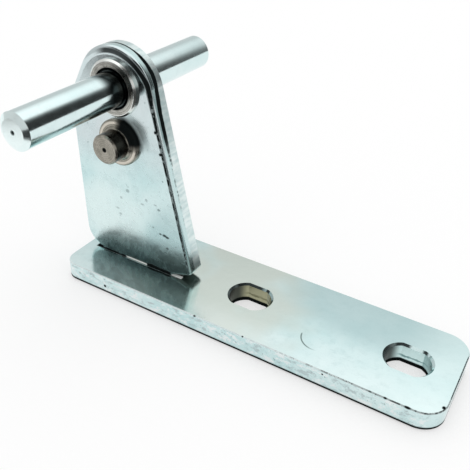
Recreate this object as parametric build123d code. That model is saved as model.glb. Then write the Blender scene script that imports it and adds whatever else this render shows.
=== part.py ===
from build123d import *
import math
import os

# Refrigerator middle hinge, in millimetres.
# A flat base plate screws to the cabinet. An upright arm is tenoned into it and carries a pivot pin
# that reaches out both ways, one end for each door, with a stop stud below the pin.
# Frame: the origin is midway between the two screw slots, on the underside of the base plate.
# X runs along the plate away from the arm, Y along the pin from its front end to its back end, Z up.

# Base plate
base_length = 97.0
base_width = 26.8
base_thickness = 5.0
arm_end_corner_radius = 3.8
slot_end_corner_radius = 5.5
base_under_break = 0.5  # sharp edge taken off along the underside
base_top_break = 0.25  # sharp edge taken off along the top
slot_spacing = 39.0
slot_length = 10.2
slot_width = 8.0  # across the flats
slot_flat_length = 5.0
slot_rim_break = 0.5  # edge taken off round the slots' tops
slot_end_margin = 11.0  # far slot's centre to that end of the plate

# Arm
arm_thickness = 5.0
arm_height = 54.2  # top of the base plate to the top of the crown
arm_setback = 9.75  # front edge of the base plate to the arm's front face
arm_foot_inset = 0.2  # arm end of the base plate to the arm's outer foot corner
arm_foot_length = 32.15
arm_foot_radius = 6.0  # outer foot corner
heel_rise = 1.8  # inner foot corner above the base plate
heel_radius = 1.2
crown_radius = 10.25
crown_drop = 1.1  # crown centre below the pin axis
crown_shift = 0.3  # crown centre outboard of the pin axis
shoulder_reach = 13.15  # outer shoulder corner outboard of the crown centre
shoulder_drop = 2.9  # outer shoulder corner below the crown centre
shoulder_radius = 7.0
roll_depth = 1.0  # rollover left by the shear round the front face, from the face backwards
edge_roll = 0.8  # its width along the sides and the foot
crown_roll = 2.0  # its width at the top of the crown
arm_back_break = 0.25  # sharp edge taken off round the back face

# Tenons that hold the arm in the base plate, peened over underneath
tenon_width = 7.4
tenon_inset = 4.8  # arm's outer foot corner to the first tenon
tenon_gap = 6.6
tenon_clearance = 0.05
peen_depth = 1.2
peen_spread = 0.9

# Pivot pin
pin_diameter = 8.0
pin_inset = 12.0  # arm end of the base plate to the pin axis
pin_front_reach = 29.3  # beyond the arm's front face
pin_back_reach = 27.7  # beyond the arm's back face
pin_seat_step = 0.2  # added to the radius where the pin is pressed into the arm and the collar
pin_chamfer_depth = 1.2
pin_chamfer_length = 0.7
centre_mark_radius = 0.5
centre_mark_depth = 0.45
press_clearance = 0.02

# Collar round the pin, against the arm's front face
collar_diameter = 13.0
collar_thickness = 1.0
collar_rim = 0.4
collar_bore_chamfer = 0.5

# Stop stud riveted through the arm
stud_drop = 12.7  # stud axis below the pin axis
stud_shift = 0.7  # stud axis inboard of the pin axis
stud_flange_diameter = 11.2
stud_flange_thickness = 1.0
stud_flange_rim = 0.3
stud_nose_diameter = 7.1
stud_nose_reach = 5.5  # beyond the arm's front face
stud_nose_rim = 0.35
stud_root_bevel = 0.6  # where the nose meets the flange
stud_shank_diameter = 6.0
rivet_depth = 0.8
rivet_spread = 0.8

# Places worked out from the sizes
arm_end_x = slot_spacing / 2 + slot_end_margin - base_length
base_middle_x = arm_end_x + base_length / 2
arm_front_y = arm_setback - base_width / 2
arm_back_y = arm_front_y + arm_thickness
arm_middle_y = arm_front_y + arm_thickness / 2
pin_x = arm_end_x + pin_inset
crown_x = pin_x - crown_shift
crown_z = base_thickness + arm_height - crown_radius
pin_z = crown_z + crown_drop
stud_x = pin_x + stud_shift
stud_z = pin_z - stud_drop
foot_outer_x = arm_end_x + arm_foot_inset
first_tenon_x = foot_outer_x + tenon_inset + tenon_width / 2
tenon_xs = [first_tenon_x, first_tenon_x + tenon_width + tenon_gap]
tenon_root_z = base_thickness + 2 * edge_roll  # inside the arm, above the rollover of its foot
pin_seat_radius = pin_diameter / 2 + pin_seat_step


def tangent_point(corner, centre, radius, turn):
    """Where the line from a corner touches a circle, on the side that turn (1 or -1) picks."""
    across = corner[0] - centre[0]
    up = corner[1] - centre[1]
    angle = math.atan2(up, across) + turn * math.acos(radius / math.hypot(across, up))
    return (centre[0] + radius * math.cos(angle), centre[1] + radius * math.sin(angle))


def turned(profile, x, z):
    """A turned piece from its half profile of (radius, y) points, on an axis along Y."""
    half_section = make_face(Polyline(*profile, close=True))
    return Pos(x, 0, z) * revolve(half_section, Axis.Y)


def tenon_form(x, top, grow):
    """A tenon from the underside up to a level, flared at its peened end; grow makes it its own slot."""
    width = tenon_width + 2 * grow
    depth = arm_thickness + 2 * grow
    shaft = Pos(x, arm_middle_y) * Box(width, depth, top, align=(Align.CENTER, Align.CENTER, Align.MIN))
    wide_end = Pos(x, arm_middle_y) * Rectangle(width + 2 * peen_spread, depth + 2 * peen_spread)
    narrow_end = Pos(x, arm_middle_y, peen_depth) * Rectangle(width, depth)
    return shaft + loft([wide_end, narrow_end], ruled=True)


def slot_outline(grow=0.0):
    """A screw slot, grown all round by a margin: two flats, and round ends that meet them in a crease."""
    half_width = slot_width / 2
    bulge = (slot_length - slot_flat_length) / 2
    end_radius = (half_width**2 + bulge**2) / (2 * bulge)
    end_centre = slot_length / 2 - end_radius
    flat = half_width + grow
    flat_end = end_centre + math.sqrt((end_radius + grow) ** 2 - flat**2)
    end = slot_length / 2 + grow
    return make_face([
        Line((-flat_end, -flat), (flat_end, -flat)),
        ThreePointArc((flat_end, -flat), (end, 0), (flat_end, flat)),
        Line((flat_end, flat), (-flat_end, flat)),
        ThreePointArc((-flat_end, flat), (-end, 0), (-flat_end, -flat)),
    ])


def make_base_plate():
    """Flat bar with rounded corners, two screw slots and two tenon slots."""
    outline = Pos(base_middle_x, 0) * Rectangle(base_length, base_width)
    outline = fillet(outline.vertices().group_by(Axis.X)[0], arm_end_corner_radius)
    outline = fillet(outline.vertices().group_by(Axis.X)[-1], slot_end_corner_radius)
    plate = extrude(outline, base_thickness)
    plate = chamfer(plate.faces().sort_by(Axis.Z)[0].edges(), base_under_break)
    plate = chamfer(plate.faces().sort_by(Axis.Z)[-1].edges(), base_top_break)
    for x in (-slot_spacing / 2, slot_spacing / 2):
        rim_start = Pos(x, 0, base_thickness - slot_rim_break) * slot_outline()
        rim_end = Pos(x, 0, base_thickness) * slot_outline(slot_rim_break)
        plate -= extrude(Pos(x, 0) * slot_outline(), base_thickness)
        plate -= loft([rim_start, rim_end], ruled=True)
    for x in tenon_xs:
        plate -= tenon_form(x, base_thickness, tenon_clearance)
    return plate


def arm_outline(crown_sink=0.0):
    """The arm's outline in X and Z: a rounded foot with a raised heel, tapered up to a round crown."""
    centre = (crown_x, crown_z - crown_sink)
    shoulder = (centre[0] - shoulder_reach, centre[1] - shoulder_drop)
    outer_foot = (foot_outer_x, base_thickness)
    heel_start = (tenon_xs[-1] + tenon_width / 2, base_thickness)
    heel = (foot_outer_x + arm_foot_length, base_thickness + heel_rise)
    crown_start = tangent_point(shoulder, centre, crown_radius, -1)
    crown_end = tangent_point(heel, centre, crown_radius, 1)
    crown_top = (centre[0], centre[1] + crown_radius)
    edges = [
        Line(outer_foot, shoulder),
        Line(shoulder, crown_start),
        ThreePointArc(crown_start, crown_top, crown_end),
        Line(crown_end, heel),
        Line(heel, heel_start),
        Line(heel_start, outer_foot),
    ]
    outline = make_face(edges)
    for corner, radius in ((shoulder, shoulder_radius), (outer_foot, arm_foot_radius), (heel, heel_radius)):
        outline = fillet(outline.vertices().sort_by_distance(corner)[0], radius)
    return outline


def roll_section(angle):
    """The outline part way round the rollover: 0 degrees in the front face, 90 at the full outline."""
    depth = roll_depth * (1 - math.cos(math.radians(angle)))
    share = 1 - math.sin(math.radians(angle))
    outline = arm_outline(share * (crown_roll - edge_roll))
    if share > 0:
        outline = offset(outline, -share * edge_roll)
    return Plane.XZ.offset(-(arm_front_y + depth)) * outline


def make_hinge_arm():
    """Upright plate, rolled over round its front, with two tenons, the pin's hole and the stud's hole."""
    arm = extrude(Plane.XZ.offset(-arm_back_y) * arm_outline(), arm_thickness - roll_depth)
    arm = chamfer(arm.faces().sort_by(Axis.Y)[-1].edges(), arm_back_break)
    arm += loft([roll_section(angle) for angle in (0, 30, 60, 90)])
    for x in tenon_xs:
        arm += tenon_form(x, tenon_root_z, 0)
    pin_hole_radius = pin_seat_radius + press_clearance
    arm -= turned(
        [(0, arm_front_y), (pin_hole_radius, arm_front_y), (pin_hole_radius, arm_back_y), (0, arm_back_y)],
        pin_x,
        pin_z,
    )
    stud_hole_radius = stud_shank_diameter / 2 + press_clearance
    arm -= turned(
        [
            (0, arm_front_y),
            (stud_hole_radius, arm_front_y),
            (stud_hole_radius, arm_back_y - rivet_depth),
            (stud_hole_radius + rivet_spread, arm_back_y),
            (0, arm_back_y),
        ],
        stud_x,
        stud_z,
    )
    return arm


def make_hinge_pin():
    """Turned pivot pin, chamfered and centre-marked at both ends, with a pressed seat in the middle."""
    radius = pin_diameter / 2
    front = arm_front_y - pin_front_reach
    back = arm_back_y + pin_back_reach
    seat_front = arm_front_y - collar_thickness
    return turned(
        [
            (0, front + centre_mark_depth),
            (centre_mark_radius, front),
            (radius - pin_chamfer_depth, front),
            (radius, front + pin_chamfer_length),
            (radius, seat_front),
            (pin_seat_radius, seat_front),
            (pin_seat_radius, arm_back_y),
            (radius, arm_back_y),
            (radius, back - pin_chamfer_length),
            (radius - pin_chamfer_depth, back),
            (centre_mark_radius, back),
            (0, back - centre_mark_depth),
        ],
        pin_x,
        pin_z,
    )


def make_pin_collar():
    """Ring pressed on the pin against the arm, with a bevelled rim and a bevelled bore."""
    bore = pin_seat_radius + press_clearance
    rim = collar_diameter / 2
    front = arm_front_y - collar_thickness
    return turned(
        [
            (bore, arm_front_y),
            (rim, arm_front_y),
            (rim, front + collar_rim),
            (rim - collar_rim, front),
            (bore + collar_bore_chamfer, front),
            (bore, front + collar_bore_chamfer),
        ],
        pin_x,
        pin_z,
    )


def make_stop_stud():
    """Turned shoulder rivet: round nose on a flange, with its shank upset flush in the arm's back."""
    nose_front = arm_front_y - stud_nose_reach
    flange_front = arm_front_y - stud_flange_thickness
    nose_radius = stud_nose_diameter / 2
    flange_radius = stud_flange_diameter / 2
    shank_radius = stud_shank_diameter / 2
    return turned(
        [
            (0, nose_front + centre_mark_depth),
            (centre_mark_radius, nose_front),
            (nose_radius - stud_nose_rim, nose_front),
            (nose_radius, nose_front + stud_nose_rim),
            (nose_radius, flange_front - stud_root_bevel),
            (nose_radius + stud_root_bevel, flange_front),
            (flange_radius - stud_flange_rim, flange_front),
            (flange_radius, flange_front + stud_flange_rim),
            (flange_radius, arm_front_y),
            (shank_radius, arm_front_y),
            (shank_radius, arm_back_y - rivet_depth),
            (shank_radius + rivet_spread, arm_back_y),
            (0, arm_back_y),
        ],
        stud_x,
        stud_z,
    )


nodes = {
    "base_plate": make_base_plate(),
    "hinge_arm": make_hinge_arm(),
    "hinge_pin": make_hinge_pin(),
    "pin_collar": make_pin_collar(),
    "stop_stud": make_stop_stud(),
}

os.makedirs("parts", exist_ok=True)
for name, solid in nodes.items():
    export_step(solid, f"parts/{name}.step")
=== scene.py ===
import math

import bpy
from mathutils import Matrix, Vector


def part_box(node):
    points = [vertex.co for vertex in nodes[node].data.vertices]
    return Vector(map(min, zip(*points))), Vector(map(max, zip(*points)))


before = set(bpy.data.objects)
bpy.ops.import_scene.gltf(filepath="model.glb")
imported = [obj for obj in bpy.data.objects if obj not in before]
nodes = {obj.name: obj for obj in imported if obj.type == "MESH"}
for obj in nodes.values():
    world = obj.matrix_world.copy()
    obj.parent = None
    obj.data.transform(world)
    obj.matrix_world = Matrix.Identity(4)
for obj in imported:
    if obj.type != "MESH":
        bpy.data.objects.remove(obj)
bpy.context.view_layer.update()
scene = bpy.context.scene


def corners_mm(node):
    """A node's lowest and highest corners, in millimetres."""
    return [Vector(corner) * 1000.0 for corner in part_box(node)]


# Places read from the frame, in millimetres
base_low, base_high = corners_mm("base_plate")
arm_top = corners_mm("hinge_arm")[1].z
pin_low, pin_high = corners_mm("hinge_pin")
collar_low, collar_high = corners_mm("pin_collar")
stud_low, stud_high = corners_mm("stop_stud")
base_top = base_high.z
base_front = base_low.y
arm_front = collar_high.y
arm_back = stud_high.y
pin_axis = (pin_low + pin_high) / 2
stud_axis = (stud_low + stud_high) / 2
collar_radius = (collar_high.x - collar_low.x) / 2
flange_radius = (stud_high.x - stud_low.x) / 2

# Sizes of features and marks, in millimetres
slot_offset = 19.5  # from the middle between the two screw slots to each slot's own middle
slot_reach = 5.8  # past the ends of a slot and its rim
slot_half_width = 4.8  # past the sides of a slot and its rim
joint_start = -63.6  # where the arm's foot meets the base plate
joint_end = -37.6
tenon_spans = ((-61.3, -54.3), (-47.3, -40.3))
tenon_margin = 0.4
foot_gap = (tenon_spans[0][1] + tenon_margin, tenon_spans[1][0] - tenon_margin)
heel_gap = (tenon_spans[1][1] + tenon_margin, joint_end + tenon_margin)
crown_radius = 10.25
crown_centre = (pin_axis.x - 0.3, arm_front, arm_top - crown_radius)
tool_ring_rate = 13.0  # radians of the ring pattern per millimetre of radius
stud_shade_angle = math.radians(42)  # from +X towards +Z
stud_shade_side = (math.cos(stud_shade_angle), 0, math.sin(stud_shade_angle))

# Colours of the zinc plating, of what lies on it, and of painted shade and daylight on it
zinc_teal = (0.55, 0.75, 0.755, 1)
zinc_pale = (0.67, 0.825, 0.825, 1)
zinc_warm = (0.61, 0.67, 0.615, 1)
zinc_shade = (0.44, 0.60, 0.61, 1)
# Painted shade and dark reflection on the zinc
zinc_painted_shade = (0.16, 0.20, 0.20, 1)
# Black for marks and grime, and for painted shade and dark reflections
black_grime_and_shade = (0.006, 0.008, 0.008, 1)
# Painted daylight seen through gaps under the arm
painted_daylight = (0.85, 0.88, 0.86, 1)

# Colours of the base plate
end_bright = (0.74, 0.90, 0.895, 1)
# Painted brighter reflection towards the front of the top
front_painted_light = (0.84, 0.91, 0.90, 1)
face_light = (0.86, 0.88, 0.88, 1)
face_dark = (0.44, 0.52, 0.53, 1)
face_pit = (0.25, 0.30, 0.30, 1)
# Painted highlight on the base plate's front edge
edge_highlight = (0.70, 0.78, 0.78, 1)
edge_dash = (0.06, 0.07, 0.07, 1)
scratch_grey = (0.16, 0.22, 0.21, 1)
slot_teal = (0.70, 0.90, 0.89, 1)
slot_olive = (0.42, 0.42, 0.28, 1)
slot_shadow = (0.05, 0.06, 0.055, 1)
# Painted shade at the end of a slot away from the arm
slot_end_shade = (0.22, 0.38, 0.38, 1)
stripe_teal = (0.16, 0.30, 0.30, 1)
stripe_olive = (0.10, 0.10, 0.05, 1)

# Colours of the arm
arm_grey = (0.66, 0.70, 0.72, 1)
arm_blue = (0.64, 0.73, 0.74, 1)
arm_pale = (0.76, 0.89, 0.88, 1)
burnished = (0.56, 0.72, 0.72, 1)
torn_dark = (0.58, 0.72, 0.72, 1)
torn_light = (0.80, 0.90, 0.89, 1)
edge_shade = (0.14, 0.21, 0.215, 1)
speck_dark = (0.04, 0.06, 0.06, 1)
speck_faint = (0.25, 0.34, 0.34, 1)
# Painted shade towards the arm's foot
foot_painted_shade = (0.08, 0.125, 0.125, 1)

# Colours of the pin, the collar and the stud
pin_bright = (0.78, 0.89, 0.89, 1)
pin_end = (0.86, 0.97, 0.965, 1)
# Painted dark reflection on the pin beside the collar
pin_dark_reflection = (0.03, 0.04, 0.04, 1)
tool_ring = (0.14, 0.13, 0.11, 1)
collar_dark = (0.37, 0.37, 0.34, 1)
collar_light = (0.55, 0.55, 0.51, 1)
# Painted highlight at the collar's rim
collar_rim_highlight = (0.84, 0.87, 0.84, 1)
stud_dark = (0.27, 0.26, 0.22, 1)
stud_light = (0.41, 0.39, 0.34, 1)
# Painted highlight ring on the stud's flange
flange_highlight = (0.78, 0.73, 0.64, 1)
# Painted dark reflection on the stud's nose
nose_dark_reflection = (0.03, 0.027, 0.022, 1)

white = (1, 1, 1, 1)

# Roughness of worn plating and of what isn't bare metal
worn_roughness = 0.4
matt_roughness = 0.6


class Tree:
    """Short calls for building one node tree."""

    def __init__(self, owner):
        owner.use_nodes = True
        self.tree = owner.node_tree
        self.tree.nodes.clear()

    def add(self, kind, inputs=None, **settings):
        node = self.tree.nodes.new(kind)
        for name, value in settings.items():
            setattr(node, name, value)
        for key, value in (inputs or {}).items():
            self.put(node.inputs[key], value)
        return node

    def put(self, socket, value):
        if isinstance(value, bpy.types.NodeSocket):
            self.tree.links.new(value, socket)
        else:
            socket.default_value = value

    def output(self, kind, shader):
        self.put(self.add(kind).inputs["Surface"], shader)

    def math(self, operation, a, b=0.0):
        return self.add("ShaderNodeMath", {0: a, 1: b}, operation=operation).outputs[0]

    def plus(self, a, b):
        return self.math("ADD", a, b)

    def minus(self, a, b):
        return self.math("SUBTRACT", a, b)

    def times(self, a, b):
        return self.math("MULTIPLY", a, b)

    def absolute(self, value):
        return self.math("ABSOLUTE", value)

    def vector(self, operation, a, b=(0, 0, 0)):
        node = self.add("ShaderNodeVectorMath", {0: a, 1: b}, operation=operation)
        return node.outputs["Vector"]

    def parts(self, vector):
        """The x, y and z of a vector."""
        return self.add("ShaderNodeSeparateXYZ", {0: vector}).outputs

    def dot(self, vector, direction):
        node = self.add("ShaderNodeVectorMath", {0: vector, 1: direction}, operation="DOT_PRODUCT")
        return node.outputs["Value"]

    def distance(self, vector, point):
        node = self.add("ShaderNodeVectorMath", {0: vector, 1: point}, operation="DISTANCE")
        return node.outputs["Value"]

    def smooth(self, value, low, high, out_low=0.0, out_high=1.0):
        """A soft step of a value between two limits."""
        inputs = {"Value": value, "From Min": low, "From Max": high, "To Min": out_low, "To Max": out_high}
        step = self.add("ShaderNodeMapRange", inputs, interpolation_type="SMOOTHSTEP")
        return step.outputs["Result"]

    def band(self, value, low, high, soft):
        """1 between two limits, falling to 0 over a soft edge outside them."""
        above_low = self.smooth(value, low - soft, low)
        below_high = self.smooth(value, high, high + soft, 1.0, 0.0)
        return self.all_of([above_low, below_high])

    def mark(self, place, centre, reach):
        """1 around a point, falling to 0 at its reach along x, y and z."""
        share = self.vector("DIVIDE", self.vector("SUBTRACT", place, centre), reach)
        return self.smooth(self.distance(share, (0, 0, 0)), 0.5, 1.0, 1.0, 0.0)

    def noise(self, coords, scale, detail=3.0, roughness=0.5):
        inputs = {"Vector": coords, "Scale": scale, "Detail": detail, "Roughness": roughness}
        return self.add("ShaderNodeTexNoise", inputs).outputs["Fac"]

    def mix(self, factor, a, b):
        """Colour between a and b."""
        node = self.add("ShaderNodeMix", data_type="RGBA", clamp_factor=True)
        self.put(node.inputs["Factor"], factor)
        self.put(node.inputs["A"], a)
        self.put(node.inputs["B"], b)
        return node.outputs["Result"]

    def any_of(self, values):
        total = values[0]
        for value in values[1:]:
            total = self.math("MAXIMUM", total, value)
        return total

    def all_of(self, values):
        total = values[0]
        for value in values[1:]:
            total = self.times(total, value)
        return total


class Metal:
    """A metal under construction: its tree, its shader, and the place and facing of a point."""

    def __init__(self, name):
        self.material = bpy.data.materials.new(name)
        self.tree = Tree(self.material)
        self.shader = self.tree.add("ShaderNodeBsdfPrincipled", {"Specular IOR Level": 0.0})
        self.tree.output("ShaderNodeOutputMaterial", self.shader.outputs["BSDF"])
        coords = self.tree.add("ShaderNodeTexCoord").outputs
        in_mm = {0: coords["Object"], "Scale": 1000.0}
        scaled = self.tree.add("ShaderNodeVectorMath", in_mm, operation="SCALE")
        self.place = scaled.outputs["Vector"]
        self.x, self.y, self.z = self.tree.parts(self.place)
        self.facing_x, self.facing_y, self.facing_z = self.tree.parts(coords["Normal"])
        self.colour = None
        self.roughness = None
        self.metallic = 1.0
        self.height = None

    def radius_about(self, axis):
        """A point's distance from an axis that runs along y through another point."""
        flat = self.tree.vector("MULTIPLY", self.tree.vector("SUBTRACT", self.place, axis), (1, 0, 1))
        return self.tree.distance(flat, (0, 0, 0))

    def on_front(self):
        """1 on faces that look to the front."""
        return self.tree.smooth(self.facing_y, -0.8, -0.9)

    def on_bevel(self):
        """1 on bevels between a side and the top."""
        return self.tree.band(self.facing_z, 0.5, 0.85, 0.05)

    def between(self, factor, old, new):
        """A value part way from old to new."""
        kept = self.tree.times(old, self.tree.minus(1.0, factor))
        return self.tree.plus(kept, self.tree.times(factor, new))

    def paint(self, factor, colour, roughness=None, metallic=None):
        """Lay another colour over what is there, and another roughness and metallic if given."""
        self.colour = self.tree.mix(factor, self.colour, colour)
        if roughness is not None:
            self.roughness = self.between(factor, self.roughness, roughness)
        if metallic is not None:
            self.metallic = self.between(factor, self.metallic, metallic)

    def cover(self, factor, colour):
        """Lay a matt colour that isn't metal over what is there."""
        self.paint(factor, colour, roughness=matt_roughness, metallic=0.0)

    def blacken(self, factor):
        """Cover with matt black: grime and marks in some places, painted shade and dark reflections in
        others.
        """
        self.cover(factor, black_grime_and_shade)

    def finish(self, bump_strength, bump_distance):
        """Join the colour, roughness, metallic and relief to the shader."""
        tree = self.tree
        tree.put(self.shader.inputs["Base Color"], self.colour)
        tree.put(self.shader.inputs["Roughness"], self.roughness)
        tree.put(self.shader.inputs["Metallic"], self.metallic)
        relief = {"Strength": bump_strength, "Distance": bump_distance, "Height": self.height}
        bump = tree.add("ShaderNodeBump", relief)
        tree.put(self.shader.inputs["Normal"], bump.outputs["Normal"])
        return self.material


def plating(name, rough_low, rough_high):
    """Zinc plating: clouded from teal to pale, with a fine uneven grain."""
    metal = Metal(name)
    tree = metal.tree
    cloud = tree.noise(metal.place, 0.09, 3.0, 0.5)
    blotch = tree.noise(metal.place, 0.45, 4.0, 0.65)
    grain = tree.noise(metal.place, 2.2, 3.0, 0.6)
    metal.colour = tree.mix(tree.smooth(cloud, 0.3, 0.7), zinc_teal, zinc_pale)
    metal.paint(tree.smooth(blotch, 0.45, 0.8, 0.0, 0.4), zinc_shade)
    metal.roughness = tree.smooth(blotch, 0.3, 0.7, rough_low, rough_high)
    metal.height = tree.plus(blotch, tree.times(grain, 0.25))
    return metal


def paint_slots(metal):
    """Punched walls of the screw slots, olive near the arm and teal far from it, with painted shade at one
    end.
    """
    tree = metal.tree
    near_arm = tree.smooth(metal.x, -1.0, 1.0, 1.0, 0.0)
    along = tree.minus(metal.x, tree.times(tree.math("SIGN", metal.x), slot_offset))
    around = tree.all_of([
        tree.smooth(tree.absolute(along), slot_reach, slot_reach - 0.1),
        tree.smooth(tree.absolute(metal.y), slot_half_width, slot_half_width - 0.1),
    ])
    wall = tree.all_of([around, tree.smooth(tree.absolute(metal.facing_z), 0.35, 0.3)])
    rim = tree.all_of([around, metal.on_bevel()])
    metal.paint(wall, tree.mix(near_arm, slot_teal, slot_olive), roughness=0.35)

    # Painted shade: the end nearer the arm is dark, and the other end is shaded, mostly in the far slot
    arm_end = tree.smooth(along, -2.6, -4.6)
    metal.paint(tree.all_of([wall, arm_end, 0.92]), slot_shadow, roughness=worn_roughness)
    metal.paint(tree.all_of([rim, arm_end, 0.8]), slot_shadow, roughness=worn_roughness)
    shade = tree.smooth(near_arm, 0.0, 1.0, 0.7, 0.15)
    metal.paint(tree.all_of([wall, tree.smooth(along, 2.45, 2.6), shade]), slot_end_shade, roughness=0.35)

    # Ragged stripe half way down the wall, and painted shade below it
    uneven = tree.noise(metal.place, 0.35, 3.0)
    ragged = tree.plus(metal.z, tree.smooth(uneven, 0.3, 0.7, -0.4, 0.4))
    stripe = tree.all_of([
        wall,
        tree.band(ragged, 1.9, 2.1, 0.35),
        tree.smooth(uneven, 0.35, 0.55, 0.35, 0.9),
        tree.smooth(along, -4.0, -2.0),
    ])
    metal.paint(stripe, tree.mix(near_arm, stripe_teal, stripe_olive), roughness=worn_roughness)
    metal.blacken(tree.all_of([wall, tree.smooth(ragged, 0.75, 0.5)]))

    # Painted dark reflection in stretches of the rim on the far side
    far_side = tree.smooth(metal.facing_y, -0.2, -0.4)
    stretches = tree.any_of([
        tree.all_of([near_arm, tree.smooth(along, 2.2, 0.5, 0.35, 1.0)]),
        tree.band(along, -3.6, -1.4, 0.9),
        tree.band(along, 2.3, 2.8, 0.6),
    ])
    metal.blacken(tree.all_of([rim, far_side, stretches, 0.95]))


def paint_base_edges(metal):
    """Painted highlight along the front edge round the top, painted dark reflection on it towards the
    right, plating worn off it in dashes, and painted shade along the lower edge.
    """
    tree = metal.tree
    on_edge = tree.all_of([metal.on_bevel(), tree.smooth(tree.absolute(metal.y), 6.0, 7.0)])
    at_front = tree.smooth(metal.y, 1.0, -1.0)
    front_edge = tree.all_of([on_edge, at_front])
    # Painted highlight along the front edge
    metal.paint(tree.all_of([front_edge, 0.9]), edge_highlight, roughness=worn_roughness, metallic=0.0)
    # Painted dark reflection along the front edge, stronger towards the right
    darker = tree.smooth(metal.x, -2.0, 18.0, 0.0, 0.6)
    metal.paint(tree.all_of([front_edge, darker]), zinc_painted_shade, roughness=worn_roughness)
    dashes = tree.smooth(tree.noise(metal.place, 1.1, 2.0, 0.7), 0.48, 0.60)
    worn_front = tree.all_of([at_front, tree.smooth(metal.x, -12.0, 16.0, 0.1, 0.9)])
    worn_back = tree.smooth(at_front, 1.0, 0.0, 0.0, 0.55)
    worn = tree.any_of([worn_front, worn_back])
    metal.paint(tree.all_of([on_edge, dashes, worn]), edge_dash, roughness=worn_roughness)
    # Painted shade along the lower edge
    not_behind = tree.smooth(metal.facing_y, 0.2, 0.0)
    metal.blacken(tree.all_of([tree.smooth(metal.z, 1.2, 0.9), not_behind]))


def paint_base_marks(metal):
    """Dark nicks along the top edge and on the front face, and one curved scratch on the top."""
    tree = metal.tree
    for x, y, z, length, width in (
        (19.0, base_front, base_top, 0.6, 0.4),
        (23.6, base_front, base_top, 1.0, 0.5),
        (29.8, base_front + 3.9, base_top, 0.5, 0.6),
        (-26.7, base_front, base_top, 0.5, 0.4),
        (-14.0, base_front, base_top, 0.4, 0.35),
        (-53.1, base_front, 2.3, 0.5, 0.5),
        (5.4, base_front, 4.1, 0.3, 0.3),
    ):
        metal.blacken(tree.mark(metal.place, (x, y, z), (length, width, width)))
    scratch_centre = (0.63, -4.58, base_top)
    scratch = tree.all_of([
        tree.band(tree.distance(metal.place, scratch_centre), 4.02, 4.10, 0.22),
        tree.smooth(metal.x, -1.4, 2.0, 0.95, 0.0),
        tree.smooth(metal.y, -4.7, -5.4),
        tree.smooth(metal.z, base_top - 0.1, base_top - 0.05),
    ])
    metal.paint(scratch, scratch_grey, roughness=worn_roughness)


def paint_base_joint(metal):
    """Painted shade in the joint under the arm's foot, with painted daylight in it between the tenons and
    at the heel.
    """
    tree = metal.tree
    on_top = tree.smooth(metal.z, base_top - 0.2, base_top - 0.1)
    # Painted shade in the joint under the arm's foot
    under_arm = tree.all_of([
        on_top,
        tree.band(metal.x, joint_start, joint_end, 0.3),
        tree.band(metal.y, arm_front - 0.1, arm_back, 0.2),
    ])
    metal.blacken(under_arm)
    # Painted daylight in the gaps between the tenons and at the heel
    for left, right in (foot_gap, heel_gap):
        gap = tree.all_of([
            on_top,
            tree.band(metal.x, left, right, 0.3),
            tree.band(metal.y, arm_front + 0.05, arm_front + 1.0, 0.1),
        ])
        metal.cover(gap, painted_daylight)


def paint_base_top(metal):
    """A warm stretch beside the arm, a shaded cloud behind, a brighter end, and a painted brighter
    reflection towards the front.
    """
    tree = metal.tree
    on_top = tree.smooth(metal.facing_z, 0.8, 0.9)
    wander = tree.smooth(tree.noise(metal.place, 0.1, 1.0), 0.2, 0.8, -8.0, 8.0)
    warm_stretch = tree.band(tree.plus(metal.x, wander), -30.0, -20.0, 20.0)
    metal.paint(tree.all_of([on_top, warm_stretch, 0.9]), zinc_warm)
    cloud = tree.mark(metal.place, (8.0, 11.0, base_top), (26.0, 16.0, 9.0))
    metal.paint(tree.all_of([on_top, cloud, 0.7]), zinc_shade)
    metal.paint(tree.all_of([on_top, tree.smooth(metal.x, 14.0, 28.0), 0.5]), end_bright)
    # Painted brighter reflection towards the front
    metal.paint(tree.all_of([on_top, tree.smooth(metal.y, -5.0, -12.0), 0.25]), front_painted_light)


def paint_base_face(metal):
    """Mottled, pitted front face."""
    tree = metal.tree
    on_face = metal.on_front()
    drawn_out = tree.vector("MULTIPLY", metal.place, (0.5, 1.0, 1.0))
    mottle = tree.noise(drawn_out, 0.8, 4.0, 0.7)
    metal.paint(tree.all_of([on_face, tree.smooth(mottle, 0.5, 0.62), 0.75]), face_light)
    metal.paint(tree.all_of([on_face, tree.smooth(mottle, 0.46, 0.36), 0.75]), face_dark)
    pitted = tree.smooth(tree.noise(metal.place, 1.3, 2.0), 0.66, 0.74)
    metal.paint(tree.all_of([on_face, pitted, 0.6]), face_pit)


def base_material():
    metal = plating("base_zinc", rough_low=0.12, rough_high=0.17)
    paint_base_top(metal)
    paint_base_face(metal)
    paint_slots(metal)
    paint_base_edges(metal)
    paint_base_marks(metal)
    paint_base_joint(metal)
    return metal.finish(bump_strength=0.4, bump_distance=0.00003)


def paint_arm_face(metal):
    """Greyer towards the top, where it is also smoother, with a pale and a dull cloud below."""
    tree = metal.tree
    patches = tree.noise(metal.place, 0.12, 2.0)
    metal.paint(tree.all_of([tree.smooth(metal.z, 26.0, 40.0), patches, 1.1]), arm_grey)
    metal.paint(tree.smooth(metal.z, 38.0, 46.0, 0.0, 0.5), arm_blue, roughness=0.05)
    pale_low = tree.mark(metal.place, (-57.0, arm_front, 17.0), (13.0, 3.0, 11.0))
    metal.paint(tree.all_of([pale_low, 0.7]), arm_pale)
    dull_low = tree.mark(metal.place, (-39.0, arm_front, 12.0), (10.0, 3.0, 16.0))
    metal.paint(tree.all_of([dull_low, 0.6]), zinc_shade)


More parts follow.
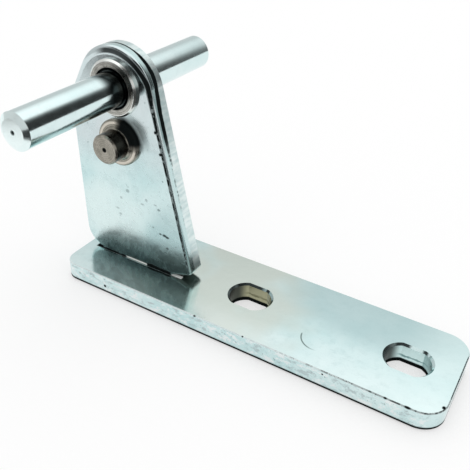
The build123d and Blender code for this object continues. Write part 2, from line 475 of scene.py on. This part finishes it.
def paint_arm_edge(metal):
    """Sheared edge: burnished near the front, torn behind, with a broken dark line between."""
    tree = metal.tree
    depth = tree.minus(metal.y, arm_front)
    side = tree.smooth(tree.absolute(metal.facing_y), 0.35, 0.65, 1.0, 0.0)
    line_depth = tree.smooth(metal.z, 45.0, 55.0, 1.9, 2.6)
    past_line = tree.minus(depth, line_depth)
    past_roll = tree.smooth(depth, 0.6, 0.9)
    metal.paint(tree.all_of([side, past_roll]), burnished, roughness=0.2)
    stretched = tree.vector("MULTIPLY", metal.place, (1.0, 0.22, 1.0))
    hatch = tree.smooth(tree.noise(stretched, 1.2, 3.0, 0.6), 0.3, 0.7)
    torn = tree.all_of([side, tree.smooth(past_line, 0.0, 0.3)])
    metal.paint(torn, tree.mix(hatch, torn_dark, torn_light), roughness=0.3)
    shade = tree.smooth(past_line, -0.1, 0.2, 0.75, 0.3)
    high_up = tree.band(metal.z, 42.0, 49.0, 6.0)
    metal.paint(tree.all_of([side, past_roll, high_up, shade]), edge_shade)

    # The line: wide and whole high up, thin and in dashes lower down
    wander = tree.smooth(tree.noise(metal.place, 0.4, 2.0), 0.25, 0.75, -0.08, 0.08)
    off_line = tree.absolute(tree.plus(past_line, wander))
    line_width = tree.all_of([
        tree.smooth(metal.z, 30.0, 44.0, 0.12, 0.55),
        tree.smooth(metal.facing_x, 0.3, 0.85, 0.25, 1.0),
    ])
    dashes = tree.smooth(tree.noise(metal.place, 1.1, 2.0), 0.46, 0.56)
    line = tree.all_of([
        side,
        tree.smooth(tree.minus(off_line, line_width), 0.0, 0.2, 1.0, 0.0),
        tree.any_of([dashes, tree.smooth(metal.z, 33.0, 40.0)]),
        tree.smooth(metal.z, 16.0, 30.0),
        tree.smooth(metal.z, 30.0, 42.0, 0.6, 1.0),
    ])
    metal.blacken(line)


def paint_arm_roll(metal):
    """Painted dark reflection in the rollover down the inner side, with two notches, and a band of painted
    dark reflection at the crown.
    """
    tree = metal.tree
    depth = tree.minus(metal.y, arm_front)
    roll_end = tree.smooth(metal.z, 40.0, 49.0, 0.58, 0.81)
    # Painted dark reflection along the rollover
    roll_dark_reflection = tree.all_of([
        tree.smooth(metal.facing_x, 0.14, 0.22),
        tree.smooth(tree.minus(metal.facing_x, roll_end), 0.03, -0.03),
        tree.smooth(depth, 0.95, 0.8),
        tree.smooth(metal.z, 54.0, 50.0),
        tree.smooth(tree.noise(metal.place, 0.9, 2.0), 0.35, 0.5, 0.6, 1.0),
    ])
    metal.blacken(roll_dark_reflection)
    # Painted dark reflection in a band inside the crown
    band_radius = tree.smooth(metal.z, 49.0, 58.0, crown_radius - 0.2, crown_radius - 1.1)
    off_band = tree.absolute(tree.minus(metal.radius_about(crown_centre), band_radius))
    crown_dark_reflection = tree.all_of([
        tree.smooth(off_band, 0.7, 0.35),
        tree.smooth(metal.facing_y, -0.3, -0.5),
        tree.smooth(metal.z, 48.0, 50.5),
        tree.smooth(metal.x, -60.0, -56.5),
    ])
    metal.paint(tree.all_of([crown_dark_reflection, 0.9]), black_grime_and_shade, roughness=0.3)
    metal.blacken(tree.all_of([crown_dark_reflection, tree.smooth(metal.x, -53.0, -48.0)]))
    for x, z in ((-43.7, 42.2), (-42.5, 37.2)):
        metal.blacken(tree.mark(metal.place, (x, arm_front + 0.2, z), (0.45, 0.8, 0.5)))


def paint_arm_marks(metal):
    """A nick and a few faint specks on the front face."""
    tree = metal.tree
    for x, z, length, width, share in (
        (-41.8, 15.95, 0.8, 0.45, 0.95),
        (-41.0, 15.7, 0.7, 0.4, 0.95),
        (-43.0, 16.0, 0.5, 0.35, 0.8),
        (-41.0, 12.5, 0.5, 0.45, 0.8),
        (-43.3, 22.6, 0.6, 0.4, 0.55),
        (-44.3, 23.6, 0.6, 0.3, 0.35),
        (-46.9, 24.1, 0.5, 0.5, 0.35),
        (-48.1, 22.6, 0.7, 0.35, 0.3),
        (-52.4, 24.9, 0.7, 0.6, 0.4),
        (-54.5, 22.4, 0.5, 0.5, 0.3),
        (-55.8, 19.1, 0.7, 0.35, 0.3),
        (-55.0, 17.7, 0.6, 0.4, 0.3),
    ):
        mark = tree.mark(metal.place, (x, arm_front, z), (length, 0.5, width))
        metal.paint(tree.all_of([mark, share]), speck_dark, roughness=worn_roughness)
    specks = tree.smooth(tree.noise(metal.place, 0.9, 2.0), 0.72, 0.78)
    metal.paint(tree.all_of([metal.on_front(), specks]), speck_faint)


def shaded_quarter(metal, radius):
    """How far a point is on the side of the stud that the nose shades."""
    tree = metal.tree
    toward = tree.dot(tree.vector("SUBTRACT", metal.place, stud_axis), stud_shade_side)
    return tree.smooth(tree.math("DIVIDE", toward, radius), 0.55, 0.85)


def paint_stud_shade(metal):
    """Dull ring and a dark fringe of painted shade round the stud's flange on its shaded side."""
    tree = metal.tree
    radius = metal.radius_about(stud_axis)
    around = tree.all_of([metal.on_front(), shaded_quarter(metal, radius)])
    dull = tree.smooth(radius, flange_radius + 3.5, flange_radius + 2.0)
    metal.paint(tree.all_of([around, dull, 0.5]), zinc_pale, roughness=0.5)
    # Painted shade in a dark fringe round the flange
    metal.blacken(tree.all_of([around, tree.smooth(radius, flange_radius + 1.6, flange_radius)]))


def paint_arm_foot(metal):
    """Streaked painted shade towards the foot, painted shade at the tenon joints, painted shade and
    painted daylight between them, and painted shade on the underside.
    """
    tree = metal.tree
    streaks = tree.noise(tree.vector("MULTIPLY", metal.place, (1.0, 1.0, 0.3)), 1.4, 3.0, 0.6)
    streaked = tree.plus(metal.z, tree.smooth(streaks, 0.3, 0.7, -0.9, 0.9))
    # Painted shade, streaked, towards the foot
    foot_shade = tree.all_of([
        tree.smooth(metal.facing_y, -0.6, -0.8),
        tree.smooth(streaked, 12.5, 5.0, 0.0, 0.85),
        tree.smooth(metal.x, -64.0, -59.0),
    ])
    metal.paint(foot_shade, foot_painted_shade)
    uneven = tree.noise(metal.place, 0.6, 2.0)
    ragged = tree.plus(metal.z, tree.smooth(uneven, 0.3, 0.7, -0.2, 0.2))
    # Painted shade at the joints by the tenons
    first_joint = tree.band(metal.x, joint_start, tenon_spans[0][1], 0.3)
    second_joint = tree.band(metal.x, tenon_spans[1][0], tenon_spans[1][1], 0.3)
    joint_height = tree.smooth(metal.x, -56.0, -46.0, 0.45, 0.85)
    low = tree.smooth(tree.minus(ragged, joint_height), base_top + 0.1, base_top - 0.1)
    metal.blacken(tree.all_of([tree.any_of([first_joint, second_joint]), low]))
    # Painted shade and painted daylight in the gap between the tenons
    in_gap = tree.band(metal.x, foot_gap[0], foot_gap[1], 0.3)
    shadow = tree.smooth(metal.z, base_top + 0.8, base_top + 0.65)
    metal.blacken(tree.all_of([in_gap, shadow]))
    light = tree.smooth(metal.z, base_top + 0.5, base_top + 0.4)
    metal.cover(tree.all_of([in_gap, light]), painted_daylight)
    # Painted shade on the underside of the heel
    underside = tree.all_of([
        tree.smooth(metal.facing_z, -0.3, -0.6),
        tree.smooth(metal.z, 10.0, 8.0),
        tree.smooth(metal.x, -40.6, -40.0),
    ])
    metal.paint(underside, zinc_painted_shade, roughness=matt_roughness)


def arm_material():
    metal = plating("arm_zinc", rough_low=0.22, rough_high=0.30)
    paint_arm_face(metal)
    paint_arm_edge(metal)
    paint_arm_roll(metal)
    paint_arm_marks(metal)
    paint_stud_shade(metal)
    paint_arm_foot(metal)
    return metal.finish(bump_strength=0.2, bump_distance=0.00003)


def pin_material():
    """Bright plating with a dark centre mark in each end, and a painted dark reflection beside the collar.
    """
    metal = plating("pin_zinc", rough_low=0.12, rough_high=0.17)
    tree = metal.tree
    metal.paint(0.5, pin_bright)
    metal.paint(metal.on_front(), pin_end)
    for y in (pin_low.y, pin_high.y):
        metal.blacken(tree.mark(metal.place, (pin_axis.x, y, pin_axis.z), (0.62, 0.62, 0.62)))
    # Painted dark reflection on the pin beside the collar
    collar_dark_reflection = tree.all_of([
        tree.smooth(metal.y, collar_low.y - 6.4, collar_low.y - 3.6),
        tree.smooth(metal.y, arm_back, arm_front),
        0.95,
    ])
    metal.paint(collar_dark_reflection, pin_dark_reflection)
    return metal.finish(bump_strength=0.3, bump_distance=0.00002)


def turned_steel(name, axis, dark, light):
    """Warm grey turned steel with tool rings about its axis, and the distance from that axis."""
    metal = Metal(name)
    tree = metal.tree
    cloud = tree.noise(metal.place, 0.5, 3.0, 0.6)
    metal.colour = tree.mix(tree.smooth(cloud, 0.35, 0.65), dark, light)
    radius = metal.radius_about(axis)
    rings = tree.math("SINE", tree.times(radius, tool_ring_rate))
    metal.paint(tree.smooth(rings, 0.2, 1.0, 0.0, 0.45), tool_ring)
    metal.roughness = tree.smooth(cloud, 0.3, 0.7, 0.22, 0.30)
    metal.height = rings
    return metal, radius


def collar_material():
    """Turned steel, with painted shade round the bore and a painted highlight at the rim."""
    metal, radius = turned_steel("collar_steel", pin_axis, collar_dark, collar_light)
    # Painted shade round the bore
    metal.blacken(metal.tree.smooth(radius, 4.85, 4.7))
    # Painted highlight at the rim
    rim = metal.tree.smooth(radius, collar_radius - 0.7, collar_radius - 0.4)
    metal.paint(rim, collar_rim_highlight, roughness=0.2)
    return metal.finish(bump_strength=0.3, bump_distance=0.00001)


def stud_material():
    """Turned steel with a dark centre mark, a painted highlight ring on the flange, a painted dark
    reflection on the nose and painted shade on the flange's shaded quarter.
    """
    metal, radius = turned_steel("stud_steel", stud_axis, stud_dark, stud_light)
    tree = metal.tree
    metal.blacken(tree.smooth(radius, 0.65, 0.45))
    # Painted highlight ring on the flange
    flange_highlight_ring = tree.band(radius, flange_radius - 0.9, flange_radius - 0.6, 0.25)
    metal.paint(tree.all_of([flange_highlight_ring, 0.65]), flange_highlight, roughness=0.18)
    # Painted dark reflection on the side of the nose
    nose_side = tree.all_of([
        tree.smooth(tree.absolute(metal.facing_y), 0.4, 0.3),
        tree.smooth(radius, 4.0, 3.8),
        0.85,
    ])
    metal.paint(nose_side, nose_dark_reflection)
    # Painted shade on the flange's shaded quarter
    metal.blacken(tree.all_of([shaded_quarter(metal, radius), tree.smooth(radius, 3.6, 3.8)]))
    return metal.finish(bump_strength=0.3, bump_distance=0.00001)


def dress(node, material):
    """Give a node one material."""
    mesh = nodes[node].data
    mesh.materials.clear()
    mesh.materials.append(material)


dress("base_plate", base_material())
dress("hinge_arm", arm_material())
dress("hinge_pin", pin_material())
dress("pin_collar", collar_material())
dress("stop_stud", stud_material())


def card(name, corners, height, material):
    """A flat stage card at a height, from its corners, in metres."""
    mesh = bpy.data.meshes.new(name)
    mesh.from_pydata([(x, y, height) for x, y in corners], [], [tuple(range(len(corners)))])
    mesh.materials.append(material)
    obj = bpy.data.objects.new(name, mesh)
    scene.collection.objects.link(obj)
    return obj


def stage_material(name):
    """A material with an empty tree, whose own glow isn't sampled as a lamp."""
    material = bpy.data.materials.new(name)
    material.cycles.emission_sampling = "NONE"
    return material, Tree(material)


def floor_material(own_white):
    """White floor: part of its white is its own, the rest is lit, so the object's shadow stays."""
    material, tree = stage_material("floor_white")
    lit_white = 1.0 - own_white
    lit = tree.add("ShaderNodeBsdfDiffuse", {"Color": (lit_white, lit_white, lit_white, 1)})
    own = tree.add("ShaderNodeEmission", {"Color": white, "Strength": own_white})
    both = tree.add("ShaderNodeAddShader", {0: lit.outputs[0], 1: own.outputs[0]})
    tree.output("ShaderNodeOutputMaterial", both.outputs[0])
    return material


def flag_material(strength):
    """Plain dark grey, the same from every side."""
    material, tree = stage_material("flag_dark")
    glow = tree.add("ShaderNodeEmission", {"Color": white, "Strength": strength})
    tree.output("ShaderNodeOutputMaterial", glow.outputs[0])
    return material


floor_reach = 3.0
floor_corners = [(x * floor_reach, y * floor_reach) for x, y in ((-1, -1), (1, -1), (1, 1), (-1, 1))]
card("floor", floor_corners, 0.0, floor_material(own_white=0.55))

# Dark floor in front and to the right, which only reflections see
flag_height = 0.0005
flag_corners = [
    (-0.045, -0.022),
    (-0.040, -0.118),
    (-0.135, -0.120),
    (-0.160, -0.110),
    (-0.178, -0.125),
    (-0.260, -0.400),
    (-0.600, -1.5),
    (1.5, -1.5),
    (1.5, -0.25),
    (0.060, -0.022),
]
flag = card("floor_flag", flag_corners, flag_height, flag_material(strength=0.05))
flag.visible_camera = False
flag.visible_diffuse = False
flag.visible_shadow = False
flag.visible_transmission = False

# The studio that reflections see. Angles are in degrees, azimuths from +X towards +Y.
wall_level = 0.68
ceiling_level = 1.24
ceiling_rise = (26, 54)  # elevations between which the wall turns into the ceiling
# Dark regions: middle azimuth, half width, soft edge; lowest and highest elevation, soft edge; share
dark_regions = (
    (36, 20, 10, -80, 57, 7, 0.95),
    (-55, 39, 10, 25, 57, 6, 0.97),
    (-122, 19, 8, 27, 44, 4, 0.96),
)


def sine(angle):
    return math.sin(math.radians(angle))


def cosine(angle):
    return math.cos(math.radians(angle))


def make_world():
    """White to the camera; in reflections a studio with pale walls, dark regions, bright ceiling."""
    world = bpy.data.worlds.new("studio")
    world.cycles.sampling_method = "NONE"
    tree = Tree(world)
    direction = tree.add("ShaderNodeTexCoord").outputs["Generated"]
    heading = tree.vector("NORMALIZE", tree.vector("MULTIPLY", direction, (1, 1, 0)))
    up = tree.dot(direction, (0, 0, 1))

    def sector(middle, half_width, soft):
        """How far a heading is inside a sector of azimuths."""
        across = tree.dot(heading, (cosine(middle), sine(middle), 0))
        return tree.smooth(across, cosine(half_width + soft), cosine(half_width - soft))

    def rising(low, high, soft):
        """How far a direction is between two elevations."""
        above_low = tree.smooth(up, sine(low - soft), sine(low + soft))
        below_high = tree.smooth(up, sine(high - soft), sine(high + soft), 1.0, 0.0)
        return tree.all_of([above_low, below_high])

    level = tree.smooth(up, sine(ceiling_rise[0]), sine(ceiling_rise[1]), wall_level, ceiling_level)
    for middle, half_width, side_soft, low, high, rise_soft, share in dark_regions:
        dark = tree.all_of([sector(middle, half_width, side_soft), rising(low, high, rise_soft)])
        level = tree.times(level, tree.minus(1.0, tree.times(dark, share)))
    studio = tree.add("ShaderNodeBackground", {"Color": white, "Strength": level})
    plain = tree.add("ShaderNodeBackground", {"Color": white, "Strength": 1.0})
    glossy = tree.add("ShaderNodeLightPath").outputs["Is Glossy Ray"]
    both = tree.add("ShaderNodeMixShader", {0: glossy, 1: plain.outputs[0], 2: studio.outputs[0]})
    tree.output("ShaderNodeOutputWorld", both.outputs[0])
    scene.world = world


make_world()

# The camera, solved from the edges seen in the photo
camera_place = Vector((0.03624642, -0.10863490, 0.10177236))
camera_right = Vector((0.85901912, 0.51038309, 0.03994068))
camera_up = Vector((-0.30798559, 0.452891, 0.83668072))
camera_back = Vector((0.40893892, -0.73102588, 0.54623266))


def make_camera():
    camera = bpy.data.cameras.new("camera")
    camera.sensor_width = 36.0
    camera.lens = 49.74
    camera.clip_start = 0.01
    obj = bpy.data.objects.new("camera", camera)
    scene.collection.objects.link(obj)
    axes = Matrix((camera_right, camera_up, camera_back)).transposed().to_4x4()
    obj.matrix_world = Matrix.Translation(camera_place) @ axes
    scene.camera = obj


make_camera()
scene.view_settings.view_transform = "Standard"
